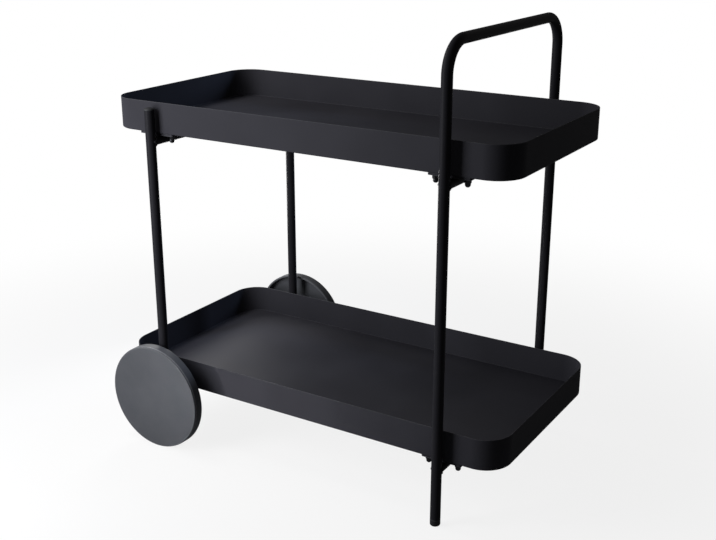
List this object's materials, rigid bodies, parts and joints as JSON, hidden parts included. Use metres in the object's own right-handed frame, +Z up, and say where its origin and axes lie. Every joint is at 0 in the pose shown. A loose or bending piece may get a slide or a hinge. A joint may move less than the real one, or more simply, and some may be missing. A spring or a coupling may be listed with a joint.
{
  "type": "serving cart",
  "caption": "Tiered serving cart with walled steel trays on a round-tube frame, a bent push handle at one end and plain disc wheels at the other.",
  "frame": {"origin": "on the floor, under the middle of the trays", "axes": "+X towards the handle end, +Y towards the rear long side, +Z up"},
  "size_m": [0.8, 0.499, 0.815],
  "materials": {
    "powder_coat": "fine satin black powder coat on steel",
    "cap_plastic": "black moulded plastic",
    "black_fasteners": "black zinc on steel",
    "bright_steel": "bright zinc on steel",
    "wheel_plastic": "matte charcoal moulded plastic",
    "bush_nylon": "natural nylon"
  },
  "bodies": {
    "cart": {"upper_tray": "powder_coat", "lower_tray": "powder_coat", "handle_tube": "powder_coat", "front_wheel_leg": "powder_coat", "rear_wheel_leg": "powder_coat", "upper_handle_crossbar": "powder_coat", "upper_wheel_crossbar": "powder_coat", "lower_handle_crossbar": "powder_coat", "lower_wheel_crossbar": "powder_coat", "upper_handle_front_plate": "powder_coat", "upper_handle_rear_plate": "powder_coat", "upper_wheel_front_plate": "powder_coat", "upper_wheel_rear_plate": "powder_coat", "lower_handle_front_plate": "powder_coat", "lower_handle_rear_plate": "powder_coat", "lower_wheel_front_plate": "powder_coat", "lower_wheel_rear_plate": "powder_coat", "front_axle_spacer": "powder_coat", "rear_axle_spacer": "powder_coat", "front_foot": "cap_plastic", "front_leg_cap": "cap_plastic", "front_leg_plug": "cap_plastic", "rear_foot": "cap_plastic", "rear_leg_cap": "cap_plastic", "rear_leg_plug": "cap_plastic", "tray_cap_nuts": "black_fasteners", "tray_washers": "black_fasteners", "upper_tray_studs": "black_fasteners", "lower_tray_studs": "black_fasteners", "front_axle": "bright_steel", "front_axle_washer": "bright_steel", "front_axle_clip": "bright_steel", "rear_axle": "bright_steel", "rear_axle_washer": "bright_steel", "rear_axle_clip": "bright_steel"},
    "front_wheel_set": {"front_wheel": "wheel_plastic", "front_wheel_cover": "wheel_plastic", "front_wheel_bush": "bush_nylon"},
    "rear_wheel_set": {"rear_wheel": "wheel_plastic", "rear_wheel_cover": "wheel_plastic", "rear_wheel_bush": "bush_nylon"}
  },
  "joints": [
    {"name": "front_wheel_spin", "type": "hinge", "parent": "cart", "child": "front_wheel_set", "pos_m": [-0.294, -0.2395, 0.1015], "axis": [0, 1, 0], "continuous": true},
    {"name": "rear_wheel_spin", "type": "hinge", "parent": "cart", "child": "rear_wheel_set", "pos_m": [-0.294, 0.2395, 0.1015], "axis": [0, 1, 0], "continuous": true}
  ]
}
